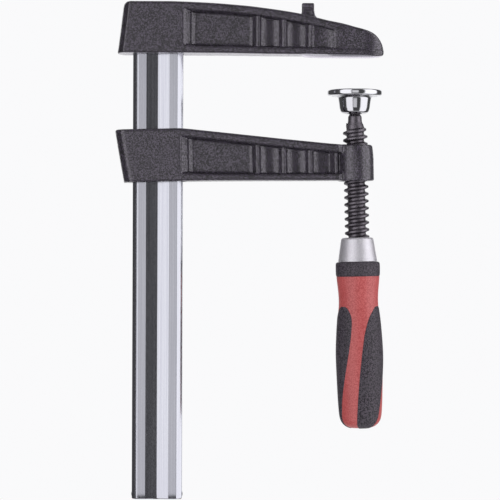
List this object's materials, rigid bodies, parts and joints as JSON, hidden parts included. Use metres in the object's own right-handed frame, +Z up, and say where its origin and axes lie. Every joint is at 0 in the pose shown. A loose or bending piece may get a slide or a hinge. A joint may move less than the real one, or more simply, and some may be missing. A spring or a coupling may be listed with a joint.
{
  "type": "f clamp",
  "caption": "Cast bar clamp: a fixed arm on a profiled steel rail, a sliding arm with a trapezoidal screw, a swivelling pressure pad and a two-component grip.",
  "frame": {"origin": "middle of the fixed arm's clamping face, where the screw's line of action meets it", "axes": "+X from the rail towards the arm tips, +Y from the front side to the back side, +Z up the rail towards the fixed arm"},
  "size_m": [0.1876, 0.0384, 0.3472],
  "materials": {
    "rail_steel": "drawn along its length, zinc plated, bright",
    "coated_iron": "as-cast texture under a dark grey coat",
    "pin_steel": "ground",
    "blackened_steel": "rolled thread, blackened and oiled",
    "bright_plating": "bright plated",
    "spring_steel": "plain",
    "satin_steel": "satin, fine bead-blasted grain",
    "red_plastic": "fine moulded grain",
    "soft_grip": "matt soft elastomer"
  },
  "bodies": {
    "rail_and_fixed_arm": {"rail": "rail_steel", "fixed_arm": "coated_iron", "fixed_arm_pins": "pin_steel"},
    "sliding_arm": {"sliding_arm": "coated_iron"},
    "retaining_ring": {"pad_retaining_ring": "spring_steel"},
    "screw_and_handle": {"spindle": "blackened_steel", "ferrule": "satin_steel", "handle_core": "red_plastic", "grip_collar": "soft_grip", "grip_panel_1": "soft_grip", "grip_panel_2": "soft_grip", "grip_panel_3": "soft_grip"},
    "pressure_pad": {"pad_socket": "bright_plating", "pressure_plate": "bright_plating"}
  },
  "joints": [
    {"name": "arm_slide", "type": "slide", "parent": "rail_and_fixed_arm", "child": "sliding_arm", "axis": [0, 0, 1], "range_m": [-0.215, 0.005]},
    {"name": "screw_feed", "type": "slide", "parent": "sliding_arm", "child": "retaining_ring", "axis": [-0.0227, 0, 0.9997], "range_m": [-0.0201, 0.0141]},
    {"name": "screw_turn", "type": "hinge", "parent": "retaining_ring", "child": "screw_and_handle", "pos_m": [0, 0, -0.0332], "axis": [-0.0227, 0, 0.9997], "range_deg": [-1440, 1008]},
    {"name": "pad_tilt", "type": "hinge", "parent": "retaining_ring", "child": "pressure_pad", "pos_m": [0, 0, -0.0332], "axis": [0, 1, 0], "range_deg": [-8, 8]}
  ],
  "couplings": [
    {"joint": "screw_feed", "follows": "screw_turn", "m_per_rad": 0.00079577}
  ]
}
